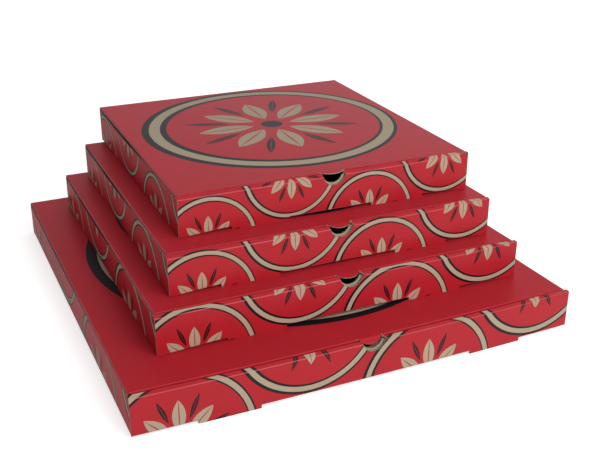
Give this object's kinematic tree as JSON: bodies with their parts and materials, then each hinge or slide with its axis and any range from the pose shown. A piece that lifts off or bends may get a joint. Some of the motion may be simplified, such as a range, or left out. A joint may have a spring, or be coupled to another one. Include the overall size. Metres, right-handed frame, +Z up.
{
  "type": "stack of pizza boxes",
  "caption": "Stack of closed folded corrugated pizza boxes in falling sizes, with thumb notches, lugs and a hinged top lid.",
  "frame": {"origin": "middle of the bottom box's underside", "axes": "+Z up, front walls with the thumb notches towards -Y, +X to the right; square to the top box"},
  "size_m": [0.4882, 0.496, 0.172],
  "materials": {
    "printed_board": "corrugated board, red print with a soft satin sheen outside, bare kraft inside and on cut edges"
  },
  "bodies": {
    "stack": {"bottom_box": "printed_board", "second_box": "printed_board", "third_box": "printed_board", "top_tray": "printed_board"},
    "lid": {"top_lid": "printed_board"}
  },
  "joints": [
    {"name": "lid_hinge", "type": "hinge", "parent": "stack", "child": "lid", "pos_m": [0.0147, 0.2023, 0.1712], "axis": [-1, 0, 0], "range_deg": [0, 180]}
  ]
}
